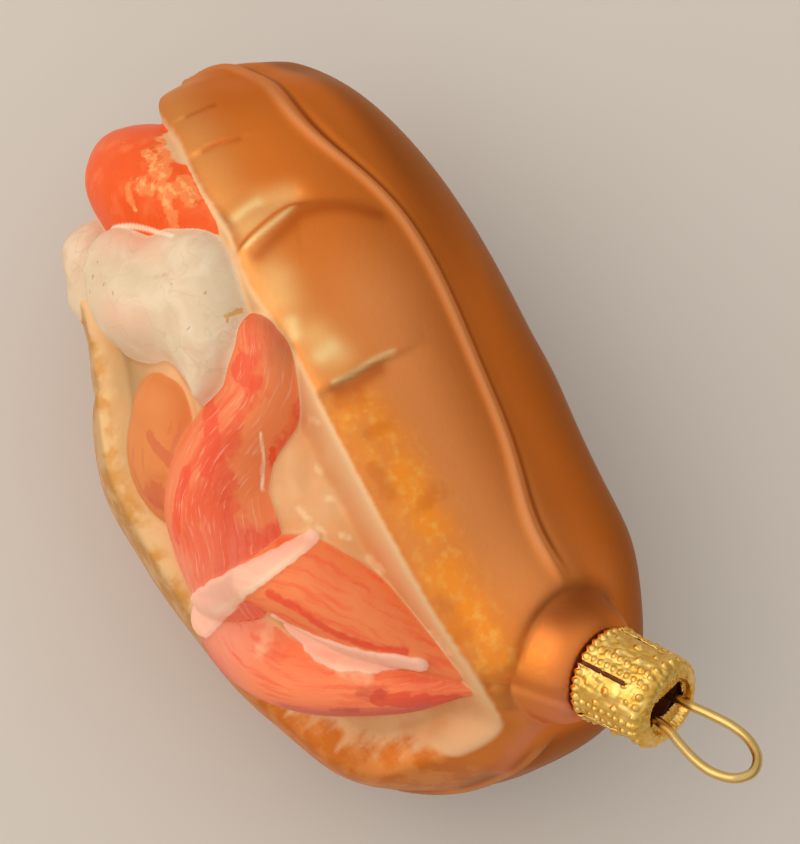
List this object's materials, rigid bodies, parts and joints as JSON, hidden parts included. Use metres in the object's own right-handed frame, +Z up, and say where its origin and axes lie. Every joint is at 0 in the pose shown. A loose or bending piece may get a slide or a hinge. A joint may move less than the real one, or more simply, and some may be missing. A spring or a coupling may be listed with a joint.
{
  "type": "shrimp roll glass tree ornament",
  "caption": "Blown-glass tree ornament in the form of a split roll filled with shrimp and claw meat, with a stamped metal cap and a wire hanger loop.",
  "frame": {"origin": "on the surface the ornament lies on, under the middle of its box", "axes": "+X along the roll towards the neck and cap, +Z up; the open side with the filling faces -Y and up"},
  "size_m": [0.1031, 0.053, 0.0549],
  "materials": {
    "lacquered_glass": "silvered blown glass, hand painted: satin golden-brown crust, pearly cream crumb, cream-white and red-orange filling",
    "gold_cap": "thin stamped metal, gold coloured, embossed with beads and slit round the rim",
    "gold_wire": "bright drawn wire, pale gold"
  },
  "bodies": {
    "root": {"glass_body": "lacquered_glass", "metal_cap": "gold_cap", "hanger_loop": "gold_wire"}
  },
  "joints": []
}
